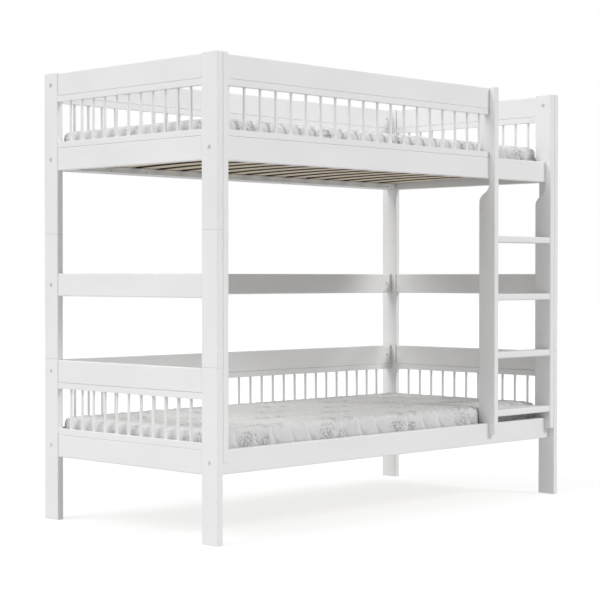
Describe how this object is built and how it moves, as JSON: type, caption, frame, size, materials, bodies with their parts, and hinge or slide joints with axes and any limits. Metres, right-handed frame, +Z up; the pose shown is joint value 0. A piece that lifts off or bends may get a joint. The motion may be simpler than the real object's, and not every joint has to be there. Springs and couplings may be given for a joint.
{
  "type": "bunk bed",
  "caption": "White painted bunk bed of stacked end frames with spindle galleries, slatted bases, a fixed ladder at the front right and quilted mattresses.",
  "frame": {"origin": "centre of the footprint at floor level", "axes": "+X along the bed towards the ladder end, +Y from the ladder side towards the wall side, +Z up"},
  "size_m": [2.07, 1.026, 1.785],
  "materials": {
    "white_paint": "satin white paint on solid wood",
    "slat_wood": "sanded, uncoated",
    "dowel_wood": "fluted beech, uncoated",
    "bolt_steel": "bright zinc plating",
    "screw_steel": "dull zinc plating",
    "mattress_cover": "quilted knitted cover with a soft grey print"
  },
  "bodies": {
    "frame": {"lower_front_left_post": "white_paint", "lower_front_right_post": "white_paint", "lower_back_left_post": "white_paint", "lower_back_right_post": "white_paint", "middle_front_left_post": "white_paint", "middle_front_right_post": "white_paint", "middle_back_left_post": "white_paint", "middle_back_right_post": "white_paint", "upper_front_left_post": "white_paint", "upper_front_right_post": "white_paint", "upper_back_left_post": "white_paint", "upper_back_right_post": "white_paint", "lower_left_bottom_board": "white_paint", "lower_left_top_board": "white_paint", "lower_right_bottom_board": "white_paint", "lower_right_top_board": "white_paint", "middle_left_board": "white_paint", "middle_right_board": "white_paint", "upper_left_bottom_board": "white_paint", "upper_left_top_board": "white_paint", "upper_right_bottom_board": "white_paint", "upper_right_top_board": "white_paint", "lower_back_rail": "white_paint", "lower_back_top_board": "white_paint", "middle_back_board": "white_paint", "upper_back_rail": "white_paint", "upper_back_top_board": "white_paint", "lower_front_rail": "white_paint", "upper_front_rail": "white_paint", "guard_top_board": "white_paint", "lower_end_strips": "white_paint", "lower_back_strips": "white_paint", "upper_end_strips": "white_paint", "upper_back_strips": "white_paint", "guard_strips": "white_paint", "lower_end_spindles": "white_paint", "lower_back_spindles": "white_paint", "upper_end_spindles": "white_paint", "upper_back_spindles": "white_paint", "guard_spindles": "white_paint", "guard_upright": "white_paint", "ladder_left_upright": "white_paint", "ladder_right_upright": "white_paint", "ladder_step_1": "white_paint", "ladder_step_2": "white_paint", "ladder_step_3": "white_paint", "ladder_step_4": "white_paint", "slat_ledgers": "white_paint", "lower_slats": "slat_wood", "upper_slats": "slat_wood", "rail_bolts": "bolt_steel", "barrel_nuts": "bolt_steel", "upright_bolts": "bolt_steel", "insert_nuts": "bolt_steel", "post_pins": "bolt_steel", "wooden_dowels": "dowel_wood", "frame_screws": "screw_steel", "slat_screws": "screw_steel"},
    "lower_mattress": {"lower_mattress": "mattress_cover"},
    "upper_mattress": {"upper_mattress": "mattress_cover"}
  },
  "joints": [
    {"name": "lower_mattress_lift", "type": "slide", "parent": "frame", "child": "lower_mattress", "axis": [0, 0, 1], "range_m": [0, 0.4]},
    {"name": "upper_mattress_lift", "type": "slide", "parent": "frame", "child": "upper_mattress", "axis": [0, 0, 1], "range_m": [0, 0.4]}
  ]
}
